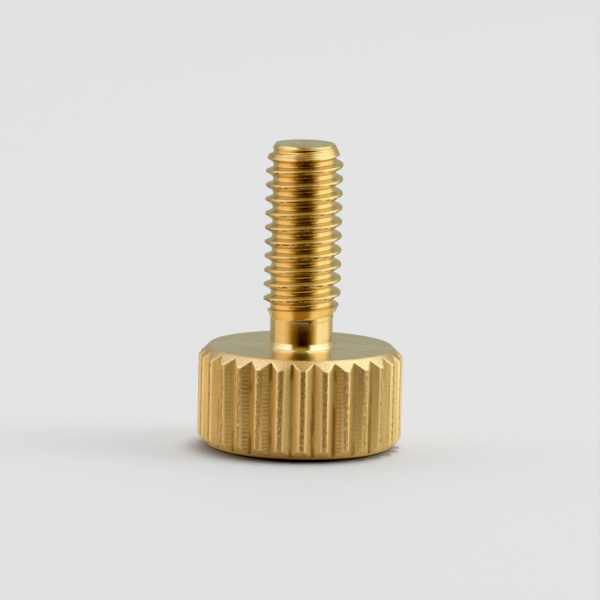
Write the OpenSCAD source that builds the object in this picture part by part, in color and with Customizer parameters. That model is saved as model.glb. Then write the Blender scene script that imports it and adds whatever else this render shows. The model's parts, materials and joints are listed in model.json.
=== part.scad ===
// Knurled brass thumb screw, turned from one bar.
// It stands on the outer face of its head: the axis is +Z, from the head towards the tip,
// and the origin is the centre of that face. Millimetres.

/* [Head] */
// Diameter over the knurl
head_d = 10; // [9:0.1:12]
// Height of the head, between its two flat faces
head_h = 5; // [4:0.1:7]
// Width of the 45 degree chamfer on the rim beside the thread
head_chamfer = 0.5; // [0.4:0.05:0.8]
// Width of the chamfer on the outer rim, around the face on which the screw stands
foot_chamfer_w = 0.63; // [0.4:0.01:0.8]
// Height of the chamfer on the outer rim
foot_chamfer_h = 0.57; // [0.4:0.01:0.8]

/* [Knurl] */
// Number of straight V grooves around the head
groove_count = 28; // [20:1:30]
// Depth of a groove below the head's diameter
groove_depth = 0.35; // [0.2:0.01:0.38]
// Opening angle of a groove
groove_angle = 102; // [90:1:104]
// Turn of the whole knurl about the axis, with 0 for a land on +X
knurl_turn = 1.6; // [0:0.1:12]

/* [Neck] */
// Diameter of the plain neck between head and thread
neck_d = 3.06; // [2.9:0.01:3.2]
// Length of the neck, from the head to the foot of the run-out cone
neck_len = 1.4; // [1.2:0.02:1.8]
// Radius of the fillet where the neck meets the head
neck_fillet = 0.3; // [0.25:0.01:0.35]

/* [Thread] */
// Length of the shank, from the head to the tip
shank_len = 10; // [8:0.5:16]
// Outer diameter of the thread
thread_d = 3.82; // [3.8:0.01:3.98]
// Depth of the thread, from its outer diameter to its bottom
thread_depth = 0.38; // [0.36:0.01:0.42]
// Distance from one turn of the thread to the next
pitch = 0.7; // [0.65:0.01:0.8]
// Width of the flat on top of the thread
crest_w = 0.1; // [0.07:0.01:0.14]
// Angle of each flank of the thread from square to the axis
flank_angle = 30; // [28:1:30]
// Length of the run-out cone between neck and full thread
runout_len = 0.95; // [0.6:0.05:1.2]
// Place of the crest on the +X side, up from the head's inner face
crest_place = 4.09; // [3:0.005:5]

/* [Tip] */
// Diameter of the flat end
tip_d = 2.92; // [2.7:0.01:2.98]
// Length of the taper behind the flat end
tip_len = 0.85; // [0.6:0.05:1.1]

/* [Hidden] */
brass = "goldenrod";
// Steps of a round shape, steps of one turn of the thread, and points on the ridge's outline a turn
round_steps = 96;
turn_steps = 36;
turn_points = 3;
// Length by which a tool shape stands clear of what it cuts
spare = 0.4;

head_r = head_d / 2;
face_r = head_r - head_chamfer;
foot_r = head_r - foot_chamfer_w;
groove_half_w = (groove_depth + spare) * tan(groove_angle / 2);

neck_r = neck_d / 2;
thread_r = thread_d / 2;
root_r = thread_r - thread_depth;
tip_r = tip_d / 2;
cone_z = head_h + neck_len;
full_z = cone_z + runout_len;
tip_z = head_h + shank_len;
taper_z = tip_z - tip_len;

// The ridge is drawn up to a sharp edge, which the turned outline cuts to the flat crest.
// It is drawn down into the core until half of the root's width is left between two turns.
flank_slope = tan(flank_angle);
root_w = pitch - crest_w - 2 * thread_depth * flank_slope;
sunk_r = root_r - root_w / 4 / flank_slope;
edge_r = thread_r + crest_w / 2 / flank_slope;
ridge_half_w = (edge_r - sunk_r) * flank_slope;

// The ridge starts a turn or more below the run-out cone, and ends a turn or more above the tip.
crest_z = head_h + crest_place;
turns_below = ceil((crest_z - cone_z) / pitch) + 1;
turns_above = ceil((tip_z - crest_z) / pitch) + 1;
turn_count = turns_below + turns_above;
low_z = crest_z - turns_below * pitch;

function around(r, a, z) = [r * cos(a), r * sin(a), z];

// The ridge's outline at angle step j, from bottom to top: edge, foot and next foot of each turn.
function column(j) =
    let (a = 360 * j / turn_steps, foot_z = low_z + pitch * j / turn_steps)
    [for (t = [0:turn_count], p = [0:turn_points - 1])
        let (z = foot_z + t * pitch)
        p == 0 ? around(edge_r, a, z)
        : p == 1 ? around(sunk_r, a, z + ridge_half_w)
        : around(sunk_r, a, z + pitch - ridge_half_w)];

// A rod with a right-handed helical ridge, longer and higher than the finished thread.
module ridge_rod() {
    rows = turn_points * (turn_count + 1);
    last = rows - turn_points - 1;
    low_tip = turn_steps * rows;
    high_tip = low_tip + 1;
    points = [
        for (j = [0:turn_steps - 1]) each column(j),
        [0, 0, low_z - pitch],
        [0, 0, low_z + (turn_count + 2) * pitch]
    ];
    // Past the last column the helix has climbed a turn, and meets the first column a turn up
    function at(j, i) = j < turn_steps ? j * rows + i : i + turn_points;
    low_rim = [for (j = [0:turn_steps - 1]) at(j, 0), for (i = [turn_points:-1:1]) i];
    high_rim = [for (j = [0:turn_steps - 1]) at(j, last), for (i = [turn_points:-1:1]) last + i];
    polyhedron(
        points = points,
        faces = [
            for (j = [0:turn_steps - 1], i = [0:last - 1])
                each [
                    [at(j, i), at(j, i + 1), at(j + 1, i + 1)],
                    [at(j, i), at(j + 1, i + 1), at(j + 1, i)]
                ],
            for (k = [0:len(low_rim) - 1]) [low_tip, low_rim[k], low_rim[(k + 1) % len(low_rim)]],
            for (k = [0:len(high_rim) - 1]) [high_tip, high_rim[(k + 1) % len(high_rim)], high_rim[k]]
        ],
        convexity = 12
    );
}

// The thread's turned outline: run-out cone, full diameter, taper and flat end.
module thread_blank() {
    rotate_extrude($fn = round_steps)
        polygon([
            [0, cone_z], [neck_r, cone_z], [thread_r, full_z],
            [thread_r, taper_z], [tip_r, tip_z], [0, tip_z]
        ]);
}

module thread() {
    intersection() {
        thread_blank();
        union() {
            ridge_rod();
            translate([0, 0, cone_z - spare])
                cylinder(r = root_r, h = tip_z - cone_z + 2 * spare, $fn = round_steps);
        }
    }
}

// Head and neck as turned, with the fillet that joins them.
module head_and_neck() {
    rotate_extrude($fn = round_steps) {
        polygon([
            [0, 0], [foot_r, 0], [head_r, foot_chamfer_h],
            [head_r, head_h - head_chamfer], [face_r, head_h], [0, head_h]
        ]);
        translate([0, head_h])
            square([neck_r, neck_len]);
        translate([neck_r, head_h])
            difference() {
                square(neck_fillet);
                translate([neck_fillet, neck_fillet])
                    circle(r = neck_fillet, $fn = round_steps);
            }
    }
}

// Straight V grooves, each halfway between two lands.
module knurl_grooves() {
    for (i = [0:groove_count - 1])
        rotate(knurl_turn + 360 * (i + 0.5) / groove_count)
            translate([head_r - groove_depth, 0, -spare])
                linear_extrude(head_h + 2 * spare)
                    polygon([[0, 0], [groove_depth + spare, -groove_half_w], [groove_depth + spare, groove_half_w]]);
}

module thumb_screw() {
    color(brass)
        union() {
            difference() {
                head_and_neck();
                knurl_grooves();
            }
            thread();
        }
}

thumb_screw();
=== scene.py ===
import json
import math
import bpy
from mathutils import Matrix, Vector


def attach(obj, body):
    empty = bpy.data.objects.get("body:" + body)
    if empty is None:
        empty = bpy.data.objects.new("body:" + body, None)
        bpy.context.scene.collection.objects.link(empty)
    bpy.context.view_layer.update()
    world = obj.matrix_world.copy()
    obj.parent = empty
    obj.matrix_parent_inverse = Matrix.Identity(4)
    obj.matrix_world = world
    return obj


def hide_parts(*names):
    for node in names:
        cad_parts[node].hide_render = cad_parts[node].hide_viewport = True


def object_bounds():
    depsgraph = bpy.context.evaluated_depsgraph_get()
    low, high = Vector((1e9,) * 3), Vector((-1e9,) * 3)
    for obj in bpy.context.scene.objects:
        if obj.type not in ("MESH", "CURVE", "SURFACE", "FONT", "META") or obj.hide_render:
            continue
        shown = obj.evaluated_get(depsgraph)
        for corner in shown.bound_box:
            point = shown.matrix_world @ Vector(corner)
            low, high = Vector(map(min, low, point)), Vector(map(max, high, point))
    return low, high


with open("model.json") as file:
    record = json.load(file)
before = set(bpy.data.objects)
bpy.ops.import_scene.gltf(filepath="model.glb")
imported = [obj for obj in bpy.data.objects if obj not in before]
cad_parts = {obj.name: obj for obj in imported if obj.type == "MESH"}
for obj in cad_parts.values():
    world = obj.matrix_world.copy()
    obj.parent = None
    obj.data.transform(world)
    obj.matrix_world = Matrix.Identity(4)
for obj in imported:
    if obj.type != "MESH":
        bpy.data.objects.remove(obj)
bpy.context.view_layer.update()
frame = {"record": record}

# ---------------------------------------------------------------------------------------------
# Camera. A long lens 0.4 m in front of the screw, looking down on it by nine degrees. It is
# held a degree out of level, so the screw leans to the right.
# ---------------------------------------------------------------------------------------------
MM = 0.001
aim = Vector((-0.093, 0, 7.255)) * MM
camera_height_angle = math.radians(9.18)
camera_distance = 396 * MM
camera_roll = math.radians(1.23)

camera_data = bpy.data.cameras.new("studio_camera")
camera_data.sensor_width = 36
camera_data.lens = 485
camera_data.clip_start = 0.05
camera_data.clip_end = 5
camera = bpy.data.objects.new("studio_camera", camera_data)
bpy.context.scene.collection.objects.link(camera)
back = Vector((0, -math.cos(camera_height_angle), math.sin(camera_height_angle)))
facing = (-back).to_track_quat("-Z", "Y").to_matrix().to_4x4()
camera.matrix_world = (
    Matrix.Translation(aim + back * camera_distance)
    @ facing
    @ Matrix.Rotation(camera_roll, 4, "Z")
)
bpy.context.scene.camera = camera

# ---------------------------------------------------------------------------------------------
# Thumb screw. One piece of bare brass, turned from the bar and standing on its head. The head
# is knurled for the fingers, and an M4 thread is cut along the shank. It is made here as in
# the shop, in millimetres: a turned blank, and the knurl and the thread that are cut into it.
# ---------------------------------------------------------------------------------------------

# Turned blank: a chamfered head, a neck with a small cone at its foot, a run-out cone, the
# shank and a tapered end. Half of its section is drawn, and turned about the axis.
low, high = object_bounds()
mounts = {mount["name"]: mount for mount in frame["record"]["mounts"]}
thread_mount = mounts["thread"]
head_r = (high.x - low.x) / 2 / MM
head_h = mounts["seat_face"]["pos_m"][2] / MM
head_chamfer = 0.5
face_r = head_r - head_chamfer
foot_chamfer_w = 0.63
foot_chamfer_h = 0.57
foot_r = head_r - foot_chamfer_w
neck_r = 1.53
neck_foot_w = 0.12
neck_foot_h = 2.3 * neck_foot_w
thread_r = thread_mount["dims"]["r_mm"]
full_z = thread_mount["pos_m"][2] / MM - thread_mount["dims"]["length_mm"] / 2
runout_len = 0.95
cone_z = full_z - runout_len
tip_z = high.z / MM
tip_r = 1.46
tip_len = 0.85
taper_z = tip_z - tip_len
turning_steps = 168
# The blank stands this much outside the thread's crest, so that the crest keeps its rounding
skin = 0.03


def rounded(corners, radii):
    """The outline through corners, with each inner corner rounded to its own radius."""
    points = [Vector(corners[0])]
    for before, corner, after, radius in zip(corners, corners[1:], corners[2:], radii):
        corner = Vector(corner)
        if radius == 0:
            points.append(corner)
            continue
        to_before = (Vector(before) - corner).normalized()
        to_after = (Vector(after) - corner).normalized()
        half_angle = to_before.angle(to_after) / 2
        centre = corner + (to_before + to_after).normalized() * radius / math.sin(half_angle)
        start = corner + to_before * radius / math.tan(half_angle) - centre
        turn = math.copysign(math.pi - 2 * half_angle, to_after.cross(to_before))
        steps = max(2, math.ceil(abs(turn) / math.radians(15)))
        for step in range(steps + 1):
            points.append(centre + Matrix.Rotation(turn * step / steps, 2) @ start)
    points.append(Vector(corners[-1]))
    return points


def drawn(name, outline):
    """A line drawn from point to point; a point is (distance from the axis, height)."""
    bpy.ops.object.select_all(action="DESELECT")
    bpy.ops.mesh.primitive_plane_add(size=1, location=(0, 0, 0))
    line = bpy.context.object
    line.name = name
    bpy.ops.object.mode_set(mode="EDIT")
    bpy.ops.mesh.merge(type="CENTER")
    bpy.ops.transform.translate(value=(outline[0][0], 0, outline[0][1]))
    for here, there in zip(outline, outline[1:]):
        move = (there[0] - here[0], 0, there[1] - here[1])
        bpy.ops.mesh.extrude_vertices_move(TRANSFORM_OT_translate={"value": move})
    bpy.ops.object.mode_set(mode="OBJECT")
    return line


def apply_to(piece, modifier):
    """Applies one modifier of a piece."""
    bpy.context.view_layer.objects.active = piece
    bpy.ops.object.modifier_apply(modifier=modifier.name)


def open_edit(piece):
    """Opens a piece for editing, with all of it selected."""
    bpy.ops.object.select_all(action="DESELECT")
    piece.select_set(True)
    bpy.context.view_layer.objects.active = piece
    bpy.ops.object.mode_set(mode="EDIT")
    bpy.ops.mesh.select_mode(type="VERT")
    bpy.ops.mesh.select_all(action="SELECT")


def close_edit():
    """Turns the faces outwards and leaves edit mode."""
    bpy.ops.mesh.select_all(action="SELECT")
    bpy.ops.mesh.normals_make_consistent(inside=False)
    bpy.ops.object.mode_set(mode="OBJECT")


def turned(name, outline, steps, rise=0, turns=1):
    """The line turned about the axis: one turn, or several with a rise for each."""
    piece = drawn(name, outline)
    lathe = piece.modifiers.new("lathe", "SCREW")
    lathe.steps = lathe.render_steps = steps
    lathe.screw_offset = rise
    lathe.iterations = turns
    lathe.use_merge_vertices = True
    lathe.merge_threshold = 0.0001
    apply_to(piece, lathe)
    return piece


blank_r = head_r + skin
foot_slope = foot_chamfer_h / foot_chamfer_w
cone_slope = (full_z - cone_z) / (thread_r - neck_r)
taper_slope = (tip_z - taper_z) / (thread_r - tip_r)
# Each corner of the section, with the radius that it is rounded to
blank_section = [
    ((0, 0), None),
    ((foot_r, 0), 0.14),
    ((blank_r, foot_slope * (blank_r - foot_r)), 0),
    ((blank_r, head_h - (blank_r - face_r)), 0),
    ((face_r, head_h), 0.03),
    ((neck_r + neck_foot_w, head_h), 0.04),
    ((neck_r, head_h + neck_foot_h), 0.03),
    ((neck_r, cone_z), 0.6),
    ((thread_r + skin, full_z + skin * cone_slope), 0),
    ((thread_r + skin, taper_z - skin * taper_slope), 1.2),
    ((tip_r, tip_z), 0.02),
    ((0, tip_z), None),
]
blank_corners = [corner for corner, radius in blank_section]
blank_radii = [radius for corner, radius in blank_section[1:-1]]
screw = turned("thumb_screw_brass", rounded(blank_corners, blank_radii), turning_steps)
open_edit(screw)
close_edit()

# Knurl: straight V grooves over the whole height of the head, with narrow lands and rounded
# shoulders between them. They are drawn as one outline, which is raised to a fluted bar.
groove_count = 28
groove_depth = 0.35
groove_half_angle = math.radians(51)
groove_r = head_r - groove_depth
# A land lies at this bearing from +X
knurl_turn = math.radians(1.6)
shoulder = 0.08
# The bar stands out of the head by this much at both ends
spare = 0.35


def pick(piece, chosen):
    """Selects the vertices for which chosen(index, place) is true."""
    bpy.ops.object.mode_set(mode="OBJECT")
    for element in (*piece.data.edges, *piece.data.polygons):
        element.select = False
    for vertex in piece.data.vertices:
        vertex.select = bool(chosen(vertex.index, vertex.co))
    bpy.ops.object.mode_set(mode="EDIT")


def turn_picked(angle):
    """Turns what is selected about the axis, anticlockwise from above."""
    bpy.ops.transform.rotate(value=-angle, orient_axis="Z", center_override=(0, 0, 0))


# The circle has three corners for each tooth. One is pulled in to a groove's bottom, and the
# other two are closed up to the width of a land.
half_tooth = math.pi / groove_count
land_half = half_tooth - math.atan(groove_depth * math.tan(groove_half_angle) / head_r)
closing = half_tooth / 3 - land_half
bpy.ops.object.select_all(action="DESELECT")
bpy.ops.mesh.primitive_circle_add(vertices=3 * groove_count, radius=head_r, fill_type="NOTHING")
knurl = bpy.context.object
open_edit(knurl)
pick(knurl, lambda index, place: index % 3 == 0)
bpy.ops.transform.resize(value=(groove_r / head_r,) * 3, center_override=(0, 0, 0))
pick(knurl, lambda index, place: index % 3 == 1)
turn_picked(closing)
pick(knurl, lambda index, place: index % 3 == 2)
turn_picked(-closing)
pick(knurl, lambda index, place: index % 3 != 0)
bpy.ops.mesh.bevel(offset=shoulder, segments=5, affect="VERTICES", clamp_overlap=False)
bpy.ops.mesh.select_all(action="SELECT")
# The circle starts on +Y with a groove's bottom. The land half a tooth before it is turned to a
# whole number of teeth from knurl_turn.
start_turn = math.pi / 2 - half_tooth
turn_picked(knurl_turn - start_turn % (2 * half_tooth))
bpy.ops.transform.translate(value=(0, 0, -spare))
bpy.ops.mesh.edge_face_add()
bpy.ops.mesh.extrude_region_move(TRANSFORM_OT_translate={"value": (0, 0, head_h + 2 * spare)})
close_edit()

# Thread: right-hand M4, with a torn, slightly rounded crest. One turn of its section is drawn
# and screwed up the axis, from below the run-out cone to above the tip.
pitch = 0.7
thread_depth = 0.38
thread_steps = 144
crest_place = 4.09
crest_z = head_h + crest_place
crest_half = 0.055
# The torn crest stands a little lower than the M4 thread it is cut to
crest_r = thread_r - 0.018
root_r = thread_r - thread_depth
# The die leaned on the turns, so the groove lies a little below the middle between two crests.
# Its bottom is a shallow hollow.
lean = 0.035
hollow = 0.013
groove_half = 0.1
groove_mid = pitch / 2 - lean
flank_r = (root_r + crest_r) / 2
flank_low = (groove_half + groove_mid - pitch - crest_half) / 2
turns_below = math.ceil((crest_z - cone_z) / pitch) + 1
turns_above = math.ceil((tip_z - crest_z) / pitch) + 1
low_z = crest_z - turns_below * pitch
# A turn runs from the middle of one lower flank to the middle of the next
section_corners = [
    (flank_r, flank_low), (crest_r, -crest_half), (crest_r, crest_half),
    (root_r + hollow, groove_mid - groove_half), (root_r, groove_mid),
    (root_r + hollow, groove_mid + groove_half), (flank_r, flank_low + pitch),
]
section_radii = [0.05, 0.09, 0.08, 0.35, 0.08]
rod = turned(
    "thread_rod",
    [(r, z + low_z) for r, z in rounded(section_corners, section_radii)],
    thread_steps,
    pitch,
    turns_below + turns_above,
)
# The two open ends are closed with a face each, which is cut into triangles
open_edit(rod)
bpy.ops.mesh.remove_doubles(threshold=0.0001)
bpy.ops.mesh.select_all(action="DESELECT")
bpy.ops.mesh.select_non_manifold()
bpy.ops.mesh.fill_holes(sides=0)
bpy.ops.mesh.select_mode(type="FACE")
bpy.ops.mesh.select_all(action="DESELECT")
bpy.ops.mesh.select_face_by_sides(number=4, type="GREATER")
bpy.ops.mesh.poke()
close_edit()

# The rod and the fluted bar meet in a collar around the neck, which leaves the neck whole
collar_r = 2.6
collar_low = head_h + spare / 2
collar_top = cone_z - 0.01
bpy.ops.object.select_all(action="DESELECT")
bpy.ops.mesh.primitive_cylinder_add(
    vertices=64, radius=collar_r, depth=collar_top - collar_low,
    location=(0, 0, (collar_top + collar_low) / 2),
)
collar = bpy.context.object

# The die was lifted over the last half turn, so the groove gets shallower and ends on the cone.
# A core in the rod fills the groove there, and narrows upwards to the groove's bottom.
lift_r = 1.9
lift_low, lift_start, lift_end = cone_z - 0.2, cone_z + 0.1, cone_z + 0.6
lift_section = [
    (0, lift_low), (lift_r, lift_low), (lift_r, lift_start),
    (root_r - 0.01, lift_end), (0, lift_end),
]
core = turned("core", lift_section, turning_steps)
open_edit(core)
close_edit()


def combine(piece, operation, tool):
    """Joins piece with tool, or keeps only what they share, and removes the tool."""
    boolean = piece.modifiers.new("boolean", "BOOLEAN")
    boolean.operation = operation
    boolean.solver = "EXACT"
    boolean.object = tool
    apply_to(piece, boolean)
    bpy.data.objects.remove(tool)


combine(knurl, "UNION", collar)
combine(knurl, "UNION", core)
combine(knurl, "UNION", rod)
combine(screw, "INTERSECT", knurl)

# The finished screw is brought from millimetres to metres
open_edit(screw)
bpy.ops.mesh.remove_doubles(threshold=0.0002)
bpy.ops.transform.resize(value=(MM, MM, MM), center_override=(0, 0, 0))
bpy.ops.object.mode_set(mode="OBJECT")
bpy.ops.object.shade_smooth_by_angle(angle=math.radians(25))
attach(screw, "root")
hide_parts("thumb_screw")


# Brass: bare metal, which shows the cut of each tool. One worked_metal group gives every mark
# of the machine: noise laid out around the axis, and drawn into rings, drag lines or grain.
def feed(tree, node_input, value):
    """Sets a node's input to a number or colour, or joins it to another node's socket."""
    if isinstance(value, bpy.types.NodeSocket):
        tree.links.new(value, node_input)
    else:
        node_input.default_value = value


def maths(tree, operation, *values):
    """A maths node. Each value is a number or the socket of another node."""
    node = tree.nodes.new("ShaderNodeMath")
    node.operation = operation
    for node_input, value in zip(node.inputs, values):
        feed(tree, node_input, value)
    return node.outputs["Value"]


def ramp(tree, value, low, high, ends=(0, 1)):
    """A soft step: the first end below low, the second end above high."""
    node = tree.nodes.new("ShaderNodeMapRange")
    node.interpolation_type = "SMOOTHSTEP"
    names = ("Value", "From Min", "From Max", "To Min", "To Max")
    for name, number in zip(names, (value, low, high, *ends)):
        feed(tree, node.inputs[name], number)
    return node.outputs["Result"]


def blend(tree, share, first, second):
    """A mix of two colours, with this share of the second."""
    node = tree.nodes.new("ShaderNodeMix")
    node.data_type = "RGBA"
    feed(tree, node.inputs["Factor"], share)
    feed(tree, node.inputs["A"], first)
    feed(tree, node.inputs["B"], second)
    return node.outputs["Result"]


worked_metal = bpy.data.node_groups.new("worked_metal", "ShaderNodeTree")
for label in ("Radial", "Round", "Height", "Seed"):
    worked_metal.interface.new_socket(label, in_out="INPUT", socket_type="NodeSocketFloat")
for label in ("Noise", "Radius", "Bearing", "Level"):
    worked_metal.interface.new_socket(label, in_out="OUTPUT", socket_type="NodeSocketFloat")
metal_nodes, metal_links = worked_metal.nodes, worked_metal.links
metal_in = metal_nodes.new("NodeGroupInput")
metal_out = metal_nodes.new("NodeGroupOutput")
on_screw = metal_nodes.new("ShaderNodeTexCoord")
in_mm = metal_nodes.new("ShaderNodeMapping")
in_mm.inputs["Scale"].default_value = (1 / MM, 1 / MM, 1 / MM)
metal_links.new(on_screw.outputs["Object"], in_mm.inputs["Vector"])
split_mm = metal_nodes.new("ShaderNodeSeparateXYZ")
metal_links.new(in_mm.outputs["Vector"], split_mm.inputs["Vector"])
across, inward, level = (split_mm.outputs[letter] for letter in "XYZ")
squares = maths(
    worked_metal, "MULTIPLY_ADD", inward, inward, maths(worked_metal, "MULTIPLY", across, across)
)
from_axis = maths(worked_metal, "SQRT", squares)
# The bearing runs from the back, so that its seam is behind the screw
around = maths(worked_metal, "ARCTAN2", across, maths(worked_metal, "MULTIPLY", inward, -1))
laid_out = metal_nodes.new("ShaderNodeCombineXYZ")
measures = (("X", from_axis, "Radial"), ("Y", around, "Round"), ("Z", level, "Height"))
for letter, measure, label in measures:
    scaled = maths(worked_metal, "MULTIPLY", measure, metal_in.outputs[label])
    shifted = maths(worked_metal, "ADD", scaled, metal_in.outputs["Seed"])
    metal_links.new(shifted, laid_out.inputs[letter])
cloud = metal_nodes.new("ShaderNodeTexNoise")
cloud.inputs["Scale"].default_value = 1
cloud.inputs["Detail"].default_value = 3
cloud.inputs["Roughness"].default_value = 0.6
metal_links.new(laid_out.outputs["Vector"], cloud.inputs["Vector"])
metal_links.new(cloud.outputs["Fac"], metal_out.inputs["Noise"])
metal_links.new(from_axis, metal_out.inputs["Radius"])
metal_links.new(around, metal_out.inputs["Bearing"])
metal_links.new(level, metal_out.inputs["Level"])


def marks(tree, radial, around, height, seed=0.0):
    """A worked_metal node: how many marks there are in a mm outward, a radian and a mm up."""
    node = tree.nodes.new("ShaderNodeGroup")
    node.node_tree = worked_metal
    for label, value in zip(("Radial", "Round", "Height", "Seed"), (radial, around, height, seed)):
        node.inputs[label].default_value = value
    return node


clean_brass = (0.91, 0.58, 0.20, 1)
neck_highlight_brass = (0.96, 0.71, 0.34, 1)
burnished_highlight_brass = (1.0, 0.70, 0.32, 1)
grey_brass = (0.92, 0.74, 0.46, 1)
scored_brass = (0.81, 0.60, 0.27, 1)
satin_brass = (0.95, 0.63, 0.22, 1)
groove_brass = (0.95, 0.68, 0.27, 1)
pink_brass = (0.95, 0.60, 0.26, 1)
yellow_brass = (1.0, 0.71, 0.27, 1)
stained_brass = (0.42, 0.22, 0.055, 1)
# A near-black brass, used for painted shade
painted_shade_brass = (0.08, 0.03, 0.004, 1)


def brass(name, roughness, drawn_out):
    """A brass with its shader and, for marks drawn out around the axis, a ring tangent."""
    material = bpy.data.materials.new(name)
    material.use_nodes = True
    tree = material.node_tree
    shader = tree.nodes["Principled BSDF"]
    shader.inputs["Base Color"].default_value = clean_brass
    shader.inputs["Metallic"].default_value = 1
    shader.inputs["Roughness"].default_value = roughness
    if drawn_out:
        shader.inputs["Anisotropic"].default_value = drawn_out
        shader.inputs["Anisotropic Rotation"].default_value = 0.25
        ring = tree.nodes.new("ShaderNodeTangent")
        ring.direction_type = "RADIAL"
        ring.axis = "Z"
        tree.links.new(ring.outputs["Tangent"], shader.inputs["Tangent"])
    screw.data.materials.append(material)
    return tree, shader


def rounding(tree, edge):
    """Edges rounded by edge mm: the normal, and a mask that is 1 on the rounding."""
    softened = tree.nodes.new("ShaderNodeBevel")
    softened.samples = 6
    softened.inputs["Radius"].default_value = edge * MM
    straight = tree.nodes.new("ShaderNodeNewGeometry")
    likeness = tree.nodes.new("ShaderNodeVectorMath")
    likeness.operation = "DOT_PRODUCT"
    tree.links.new(softened.outputs["Normal"], likeness.inputs[0])
    tree.links.new(straight.outputs["Normal"], likeness.inputs[1])
    return softened.outputs["Normal"], ramp(tree, likeness.outputs["Value"], 0.965, 0.998, (1, 0))


def raised(tree, shader, normal, *heights):
    """Bumps on a normal, or on the plain face. Each is a value from 0 to 1 and its height in mm."""
    for value, height in heights:
        bump = tree.nodes.new("ShaderNodeBump")
        bump.inputs["Strength"].default_value = 1
        bump.inputs["Distance"].default_value = height * MM
        tree.links.new(value, bump.inputs["Height"])
        if normal:
            tree.links.new(normal, bump.inputs["Normal"])
        normal = bump.outputs["Normal"]
    tree.links.new(normal, shader.inputs["Normal"])


screw.data.materials.clear()

# Turned: the neck, the run-out cone and the tapered end, with the tool's rings around them.
# The small cone at the neck's foot is painted in a paler brass, a painted highlight.
tree, shader = brass("turned_brass", 0.17, 0.9)
tool_rings = marks(tree, 0, 0.3, 14)
handling = marks(tree, 1.5, 1.2, 1.5, 7.0)
height_up = tool_rings.outputs["Level"]
ridges = maths(
    tree, "MULTIPLY",
    ramp(tree, tool_rings.outputs["Noise"], 0.45, 0.6),
    ramp(tree, height_up, cone_z + 0.3, cone_z + 0.6, (0.15, 1)),
)
turned_stain = maths(
    tree, "ADD",
    maths(tree, "MULTIPLY", ridges, 0.3),
    ramp(tree, handling.outputs["Noise"], 0.5, 0.75, (0, 0.15)),
)
# Painted highlight: paler brass on the small cone at the neck's foot
neck_foot = ramp(tree, height_up, head_h + 0.24, head_h + 0.32, (1, 0))
turned_color = blend(tree, neck_foot, clean_brass, neck_highlight_brass)
feed(tree, shader.inputs["Base Color"], blend(tree, turned_stain, turned_color, stained_brass))
polish = maths(
    tree, "MULTIPLY",
    ramp(tree, handling.outputs["Noise"], 0.3, 0.7, (0.12, 0.18)),
    ramp(tree, height_up, head_h + 0.25, head_h + 0.75, (0.3, 1)),
)
feed(tree, shader.inputs["Roughness"], polish)
tip_rings = maths(
    tree, "MULTIPLY", tool_rings.outputs["Noise"], ramp(tree, height_up, taper_z - 0.3, taper_z)
)
raised(tree, shader, None, (ridges, 0.003), (tip_rings, 0.018))

# Faced: the flat faces of the head and the tip, greyer, with fine rings about the axis
tree, shader = brass("faced_brass", 0.22, 0.9)
face_rings = marks(tree, 20, 0.3, 0, 2.0)
tarnish = marks(tree, 1.2, 1.5, 1, 7.0)
spots = marks(tree, 9, 30, 1, 3.0)
dulled = maths(
    tree, "ADD",
    ramp(tree, face_rings.outputs["Noise"], 0.5, 0.7, (0, 0.2)),
    ramp(tree, tarnish.outputs["Noise"], 0.48, 0.7, (0, 0.22)),
)
faced_stain = maths(tree, "MAXIMUM", dulled, ramp(tree, spots.outputs["Noise"], 0.7, 0.76))
feed(tree, shader.inputs["Base Color"], blend(tree, faced_stain, grey_brass, stained_brass))
feed(tree, shader.inputs["Roughness"], ramp(tree, tarnish.outputs["Noise"], 0.3, 0.7, (0.18, 0.26)))
raised(tree, shader, None, (face_rings.outputs["Noise"], 0.0022), (spots.outputs["Noise"], 0.0008))

# Threaded: scored flanks between a clean root and a rougher crest, whose torn lower edge is painted
# near-black as painted shade
tree, shader = brass("threaded_brass", 0.17, 0.9)
scores = marks(tree, 16, 1.3, 16, 2.0)
tears = marks(tree, 8, 7, 8, 5.0)
tear_patches = marks(tree, 0, 1.5, 1.1, 13.0)
depth = tears.outputs["Radius"]
thread_flank = maths(
    tree, "MULTIPLY",
    ramp(tree, depth, root_r + 0.01, root_r + 0.06),
    ramp(tree, depth, crest_r - 0.06, crest_r - 0.02, (1, 0)),
)
# How far a point is above the middle of the nearest crest, in turns of the thread
climb = maths(
    tree, "MULTIPLY_ADD", tears.outputs["Bearing"], -0.5 / math.pi, 0.25 - crest_z / pitch + 0.5
)
turns_up = maths(tree, "MULTIPLY_ADD", tears.outputs["Level"], 1 / pitch, climb)
above_crest = maths(tree, "SUBTRACT", maths(tree, "FRACT", turns_up), 0.5)
off_edge = maths(tree, "ABSOLUTE", maths(tree, "ADD", above_crest, 0.075))
# Painted shade: the torn lower edge of the crest is painted near-black, where the burr's shadow
# falls
torn_edge_shade = maths(
    tree, "MULTIPLY",
    ramp(tree, off_edge, 0.03, 0.07, (1, 0)),
    ramp(tree, tears.outputs["Noise"], 0.44, 0.54, (0.15, 1)),
)
torn_edge_shade = maths(
    tree, "MULTIPLY", torn_edge_shade, ramp(tree, tear_patches.outputs["Noise"], 0.38, 0.55, (0.2, 1))
)
crest = ramp(tree, depth, crest_r - 0.06, crest_r - 0.02)
thread_color = blend(tree, thread_flank, clean_brass, scored_brass)
feed(tree, shader.inputs["Base Color"], blend(tree, torn_edge_shade, thread_color, painted_shade_brass))
scored = ramp(tree, scores.outputs["Noise"], 0.3, 0.7, (0.13, 0.22))
feed(tree, shader.inputs["Roughness"], maths(tree, "MULTIPLY_ADD", crest, 0.12, scored))
raised(tree, shader, None, (scores.outputs["Noise"], 0.0055), (tears.outputs["Noise"], 0.006))

# Knurled: satin flutes with drag lines along them, painted shade at the groove bottom, and rough
# lands with shoulders that are burnished and painted paler as painted highlight
tree, shader = brass("knurled_brass", 0.46, 0)
drag = marks(tree, 6, 60, 0.3, 1.0)
grain = marks(tree, 12, 60, 12, 4.0)
streaks = marks(tree, 6, 90, 5, 11.0)
bands = marks(tree, 0.2, 7, 0.4, 9.0)
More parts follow.
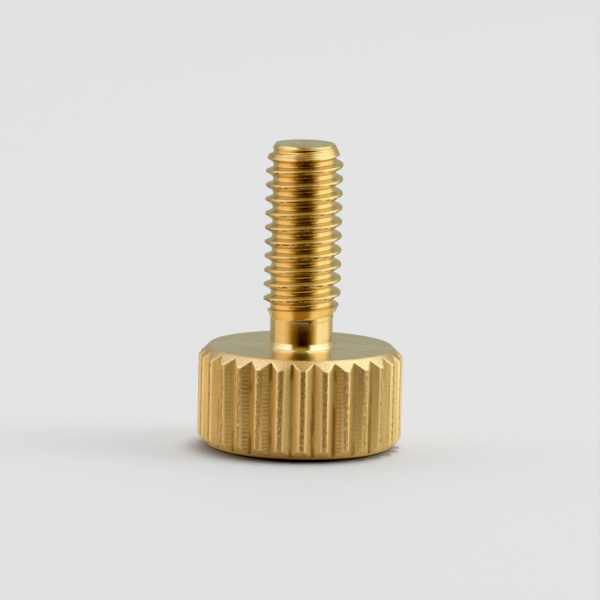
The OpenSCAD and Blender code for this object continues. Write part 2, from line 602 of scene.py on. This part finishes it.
# The tool chattered on a few of the flanks, and left small ridges across them
wave = tree.nodes.new("ShaderNodeTexWave")
wave.wave_type = "BANDS"
wave.bands_direction = "Z"
chatter_pitch = 0.198
wave.inputs["Scale"].default_value = math.pi / 10 / chatter_pitch / MM
wave.inputs["Distortion"].default_value = 3
wave.inputs["Detail"].default_value = 1
on_head = tree.nodes.new("ShaderNodeTexCoord")
tree.links.new(on_head.outputs["Object"], wave.inputs["Vector"])
chattered = ramp(tree, bands.outputs["Noise"], 0.5, 0.68, (0, 0.25))
for flank_bearing, strength in ((-0.59, 0.8), (-0.36, 0.7), (0.41, 0.6), (-0.81, 0.4), (0.66, 0.3)):
    off = maths(tree, "ABSOLUTE", maths(tree, "SUBTRACT", bands.outputs["Bearing"], flank_bearing))
    chattered = maths(tree, "MAXIMUM", chattered, ramp(tree, off, 0.035, 0.055, (strength, 0)))
chatter_patches = marks(tree, 0, 3, 0.9, 3.0)
chattered = maths(
    tree, "MULTIPLY", chattered, ramp(tree, chatter_patches.outputs["Noise"], 0.35, 0.6, (0.4, 1))
)
chatter = maths(tree, "MULTIPLY", wave.outputs["Fac"], chattered)
radius = grain.outputs["Radius"]
land_edge = maths(tree, "MULTIPLY_ADD", streaks.outputs["Noise"], 0.05, radius)
land = ramp(tree, land_edge, head_r + 0.001, head_r + 0.025)
shoulder_mask = maths(
    tree, "MULTIPLY",
    ramp(tree, radius, head_r - 0.1, head_r - 0.05), ramp(tree, land, 0, 1, (1, 0)),
)
# Painted shade: the flutes darken towards the groove bottom, where the flanks shade each other
groove_bottom_shade = maths(
    tree, "MULTIPLY",
    ramp(tree, radius, groove_r + 0.015, groove_r + 0.13, (0.95, 0)),
    ramp(tree, bands.outputs["Noise"], 0.42, 0.58, (1, 0.4)),
)
worn = maths(
    tree, "ADD",
    ramp(tree, drag.outputs["Noise"], 0.5, 0.7, (0, 0.2)),
    maths(tree, "MULTIPLY", chatter, 0.8),
)
worn = maths(tree, "ADD", worn, ramp(tree, grain.outputs["Noise"], 0.5, 0.68, (0, 0.22)))
torn_land = maths(
    tree, "MULTIPLY", land, ramp(tree, streaks.outputs["Noise"], 0.38, 0.6, (0.35, 0.95))
)
# The stain of the marks, the painted shade at the groove bottom and the torn lands, whichever is
# strongest
knurl_stain_and_shade = maths(tree, "MAXIMUM", maths(tree, "MAXIMUM", worn, groove_bottom_shade), torn_land)
knurl_stain_and_shade = maths(tree, "MULTIPLY", knurl_stain_and_shade, ramp(tree, shoulder_mask, 0, 1, (1, 0.3)))
# Painted light: the brass is paler towards the groove bottom, offsetting the deeper orange of light
# bounced between the flanks
up_flank = ramp(tree, radius, groove_r + 0.02, groove_r + 0.22)
flute_color = blend(
    tree, knurl_stain_and_shade, blend(tree, up_flank, groove_brass, satin_brass), stained_brass
)
knurl_normal, knurl_edges = rounding(tree, 0.15)
groove_mouth = maths(
    tree, "MULTIPLY", knurl_edges, ramp(tree, radius, groove_r + 0.08, groove_r + 0.16)
)
# Shoulders and groove mouths are painted in a paler brass: partly burnished metal, partly painted
# highlight
rubbed_highlight = maths(tree, "MAXIMUM", groove_mouth, maths(tree, "MULTIPLY", shoulder_mask, 0.7))
feed(tree, shader.inputs["Base Color"], blend(tree, rubbed_highlight, flute_color, burnished_highlight_brass))
satin = maths(
    tree, "MINIMUM",
    ramp(tree, shoulder_mask, 0, 1, (0.48, 0.28)), ramp(tree, groove_mouth, 0, 1, (0.48, 0.3)),
)
feed(tree, shader.inputs["Roughness"], satin)
raised(
    tree, shader, knurl_normal,
    (drag.outputs["Noise"], 0.016), (chatter, 0.004), (grain.outputs["Noise"], 0.006),
)

# Chamfered: the two sloping rims of the head, pitted where the tool plucked the metal. The lower
# one is duller, and near-black where it meets the bench, which is a painted shadow.
tree, shader = brass("chamfered_brass", 0.3, 0.5)
pits = marks(tree, 14, 70, 14, 6.0)
chamfer_rings = marks(tree, 18, 1.5, 18, 8.0)
# Painted light: the lower rim is a lighter yellow brass with fewer dark pits, standing in for light
# it would catch; the upper rim is pink brass
up_head = ramp(tree, pits.outputs["Level"], 0.6, 4.2)
rim_color = blend(tree, up_head, yellow_brass, pink_brass)
pitted = maths(
    tree, "MULTIPLY",
    ramp(tree, pits.outputs["Noise"], 0.52, 0.62, (0, 0.4)),
    ramp(tree, pits.outputs["Level"], 0.6, 4.2, (0.4, 1)),
)
rim_color = blend(tree, pitted, rim_color, stained_brass)
# Painted shadow: the lowest part of the lower rim turns near-black where it meets the bench
bench_shadow = ramp(tree, pits.outputs["Level"], 0.07, 0.2, (1, 0))
rim_color = blend(tree, bench_shadow, rim_color, painted_shade_brass)
rim_normal, rim_edges = rounding(tree, 0.15)
# The rounded edges of the upper rim are painted paler: partly burnished metal, partly painted
# highlight
rim_rubbed_highlight = maths(tree, "MULTIPLY", rim_edges, ramp(tree, pits.outputs["Level"], 1, 3))
feed(tree, shader.inputs["Base Color"], blend(tree, rim_rubbed_highlight, rim_color, burnished_highlight_brass))
rim_dull = maths(
    tree, "MAXIMUM",
    ramp(tree, pits.outputs["Noise"], 0.35, 0.65, (0.22, 0.36)),
    ramp(tree, pits.outputs["Level"], 0.6, 4.2, (0.78, 0)),
)
rim_roughness = maths(tree, "MINIMUM", rim_dull, ramp(tree, rim_rubbed_highlight, 0, 1, (0.8, 0.17)))
feed(tree, shader.inputs["Roughness"], rim_roughness)
raised(
    tree, shader, rim_normal,
    (pits.outputs["Noise"], 0.008), (chamfer_rings.outputs["Noise"], 0.003),
)

# Each face takes the finish of the cut that made it
TURNED, FACED, THREADED, KNURLED, CHAMFERED = range(5)
thread_low, thread_top = cone_z + 0.55, taper_z + 0.02
for face in screw.data.polygons:
    middle = face.center / MM
    out = math.hypot(middle.x, middle.y)
    if abs(face.normal.z) > 0.98:
        face.material_index = FACED
    elif out < face_r + 0.01 and not (thread_low < middle.z < thread_top):
        face.material_index = TURNED
    elif middle.z > head_h:
        face.material_index = THREADED
    elif abs(face.normal.z) < 0.3:
        face.material_index = KNURLED
    else:
        face.material_index = CHAMFERED

# ---------------------------------------------------------------------------------------------
# Studio. A plain pale floor, soft lights on both sides and above, and the room as it is
# mirrored in the metal. The lights shine on the floor, and only the room shows in the brass.
# ---------------------------------------------------------------------------------------------
def soft_light(name, place, size, radiance):
    """A rectangular light that faces the screw, with its place and size in mm."""
    data = bpy.data.lights.new(name, "AREA")
    data.shape = "RECTANGLE"
    data.size = size[0] * MM
    data.size_y = size[1] * MM
    data.energy = radiance * math.pi * data.size * data.size_y
    light = bpy.data.objects.new(name, data)
    bpy.context.scene.collection.objects.link(light)
    place = Vector(place) * MM
    light.matrix_world = (
        Matrix.Translation(place) @ place.to_track_quat("Z", "Y").to_matrix().to_4x4()
    )
    light.visible_glossy = False


soft_light("left_light", (-660, 0, 500), (400, 500), 0.6)
soft_light("right_light", (660, 0, 500), (400, 500), 2.3)
soft_light("top_light", (90, 110, 900), (280, 280), 17.4)

# The room in the metal: dark in front, a white side light on each hand, grey behind, and a
# cream ceiling. Bearings run from the front, with the right hand positive.
room = bpy.data.node_groups.new("room_tone", "ShaderNodeTree")
room.interface.new_socket("Direction", in_out="INPUT", socket_type="NodeSocketVector")
room.interface.new_socket("Color", in_out="OUTPUT", socket_type="NodeSocketColor")
room_nodes, room_links = room.nodes, room.links
room_in = room_nodes.new("NodeGroupInput")
room_out = room_nodes.new("NodeGroupOutput")
heading = room_nodes.new("ShaderNodeSeparateXYZ")
room_links.new(room_in.outputs["Direction"], heading.inputs["Vector"])
rightward, backward, upward = (heading.outputs[letter] for letter in "XYZ")
bearing = maths(room, "ARCTAN2", rightward, maths(room, "MULTIPLY", backward, -1))
turn_share = maths(room, "MULTIPLY_ADD", bearing, 0.5 / math.pi, 0.5)
level_heading = room_nodes.new("ShaderNodeVectorMath")
level_heading.operation = "MULTIPLY"
level_heading.inputs[1].default_value = (1, 1, 0)
room_links.new(room_in.outputs["Direction"], level_heading.inputs[0])
level_length = room_nodes.new("ShaderNodeVectorMath")
level_length.operation = "LENGTH"
room_links.new(level_heading.outputs["Vector"], level_length.inputs[0])
height_angle = maths(room, "ARCTAN2", upward, level_length.outputs["Value"])

# The walls at eye level, each as a bearing in degrees and its colour
wall_stops = [
    (-180, (0.205, 0.214, 0.18)), (-118, (0.205, 0.225, 0.23)), (-106, (0.40, 0.40, 0.41)),
    (-70, (0.48, 0.46, 0.45)), (-57, (0.43, 0.40, 0.35)), (-47, (0.31, 0.27, 0.17)),
    (-38, (0.16, 0.13, 0.055)), (-28, (0.09, 0.065, 0.015)), (-15, (0.045, 0.028, 0.004)),
    (-6, (0.012, 0.006, 0.001)), (17, (0.012, 0.007, 0.001)), (31, (0.05, 0.035, 0.008)),
    (43, (0.17, 0.14, 0.07)), (54, (0.38, 0.38, 0.32)), (64, (0.57, 0.67, 0.76)),
    (112, (0.50, 0.59, 0.68)), (124, (0.32, 0.35, 0.40)), (140, (0.24, 0.25, 0.22)),
    (180, (0.205, 0.214, 0.18)),
]
walls = room_nodes.new("ShaderNodeValToRGB")
room_links.new(turn_share, walls.inputs["Fac"])
stops = walls.color_ramp.elements
while len(stops) < len(wall_stops):
    stops.new(0.5)
for stop, (degrees, tone) in zip(stops, wall_stops):
    stop.position = degrees / 360 + 0.5
    stop.color = (*tone, 1)


def up_from(low_degrees, high_degrees):
    """A soft step with the height angle in the room."""
    return ramp(room, height_angle, math.radians(low_degrees), math.radians(high_degrees))


# Overhead there is a darker gap between the white of the left and that of the right, and the
# left white is weaker behind the screw
ceiling = blend(room, up_from(66, 80), (0.23, 0.185, 0.08, 1), (0.25, 0.215, 0.125, 1))
gap = blend(room, up_from(33, 46), walls.outputs["Color"], ceiling)
left_white = blend(room, up_from(62, 80), (0.60, 0.70, 0.90, 1), (0.57, 0.60, 0.62, 1))
left_white = blend(room, ramp(room, backward, -0.1, 0.3), left_white, (0.44, 0.51, 0.64, 1))
side_white = blend(room, ramp(room, rightward, -0.2, 0.2), left_white, (0.62, 0.79, 0.97, 1))
white = blend(room, up_from(18, 36), walls.outputs["Color"], side_white)
sideways = maths(room, "DIVIDE", rightward, level_length.outputs["Value"])
aside = maths(
    room, "MULTIPLY",
    ramp(room, maths(room, "ABSOLUTE", sideways), 0.48, 0.75),
    ramp(room, maths(room, "ABSOLUTE", rightward), 0.03, 0.25),
)
room_links.new(blend(room, aside, gap, white), room_out.inputs["Color"])

bpy.ops.object.select_all(action="DESELECT")
bpy.ops.mesh.primitive_plane_add(size=3, location=(0, 0, 0))
floor = bpy.context.object
floor.name = "floor"
paper = bpy.data.materials.new("pale_paper")
paper.use_nodes = True
paper_tree = paper.node_tree
paper_nodes, paper_links = paper_tree.nodes, paper_tree.links
paper_shader = paper_nodes["Principled BSDF"]
paper_shader.inputs["Base Color"].default_value = (0.8, 0.8, 0.8, 1)
paper_shader.inputs["Roughness"].default_value = 0.6
paper_shader.inputs["Specular IOR Level"].default_value = 0.2
# Near the screw the metal sees the paper; away from it the floor glows with the room's tones, a
# painted reflection
on_floor = paper_nodes.new("ShaderNodeTexCoord")
far = paper_nodes.new("ShaderNodeVectorMath")
far.operation = "LENGTH"
paper_links.new(on_floor.outputs["Object"], far.inputs[0])
mirror_share = maths(
    paper_tree, "ADD",
    ramp(paper_tree, far.outputs["Value"], 5.5 * MM, 9 * MM, (0, 0.25)),
    ramp(paper_tree, far.outputs["Value"], 17 * MM, 26 * MM, (0, 0.75)),
)
paper_path = paper_nodes.new("ShaderNodeLightPath")
# The light that the brass throws back on the floor is weaker than what it shows
thrown_back = ramp(paper_tree, paper_path.outputs["Diffuse Depth"], 0, 1)
mirrored = maths(
    paper_tree, "MULTIPLY",
    maths(paper_tree, "MAXIMUM", mirror_share, thrown_back), paper_path.outputs["Is Glossy Ray"],
)
room_in_floor = paper_nodes.new("ShaderNodeGroup")
room_in_floor.node_tree = room
paper_links.new(on_floor.outputs["Object"], room_in_floor.inputs["Direction"])
# The floor's glow: the room's tones, shown only to rays from the metal
glow = paper_nodes.new("ShaderNodeEmission")
paper_links.new(ramp(paper_tree, thrown_back, 0, 1, (2, 0.6)), glow.inputs["Strength"])
paper_links.new(room_in_floor.outputs["Color"], glow.inputs["Color"])
paper_mix = paper_nodes.new("ShaderNodeMixShader")
paper_links.new(mirrored, paper_mix.inputs["Fac"])
paper_links.new(paper_shader.outputs["BSDF"], paper_mix.inputs[1])
paper_links.new(glow.outputs["Emission"], paper_mix.inputs[2])
paper_links.new(paper_mix.outputs["Shader"], paper_nodes["Material Output"].inputs["Surface"])
paper.cycles.emission_sampling = "NONE"
floor.data.materials.append(paper)

world = bpy.data.worlds.new("studio")
bpy.context.scene.world = world
world.use_nodes = True
world.cycles.sampling_method = "NONE"
world_tree = world.node_tree
world_nodes, world_links = world_tree.nodes, world_tree.links
world_path = world_nodes.new("ShaderNodeLightPath")
looking = world_nodes.new("ShaderNodeTexCoord")
room_around = world_nodes.new("ShaderNodeGroup")
room_around.node_tree = room
world_links.new(looking.outputs["Generated"], room_around.inputs["Direction"])
# The floor is lit from behind, and hardly at all from the dark front
where = world_nodes.new("ShaderNodeSeparateXYZ")
world_links.new(looking.outputs["Generated"], where.inputs["Vector"])
even = world_nodes["Background"]
even.inputs["Color"].default_value = (1, 1, 1, 1)
from_behind = ramp(world_tree, where.outputs["Y"], -0.35, 0.35, (0.05, 0.62))
world_links.new(from_behind, even.inputs["Strength"])
walls_seen = world_nodes.new("ShaderNodeBackground")
walls_seen.inputs["Strength"].default_value = 2
world_links.new(room_around.outputs["Color"], walls_seen.inputs["Color"])
world_mix = world_nodes.new("ShaderNodeMixShader")
shown = maths(
    world_tree, "MULTIPLY",
    world_path.outputs["Is Glossy Ray"],
    ramp(world_tree, world_path.outputs["Diffuse Depth"], 0, 1, (1, 0.3)),
)
world_links.new(shown, world_mix.inputs["Fac"])
world_links.new(even.outputs["Background"], world_mix.inputs[1])
world_links.new(walls_seen.outputs["Background"], world_mix.inputs[2])
world_links.new(world_mix.outputs["Shader"], world_nodes["World Output"].inputs["Surface"])

# The view has plain tones, with the darkest of them taken down to black
view = bpy.context.scene.view_settings
view.view_transform = "Standard"
view.use_curve_mapping = True
view.curve_mapping.black_level = (0.01, 0.01, 0.01)
view.curve_mapping.update()
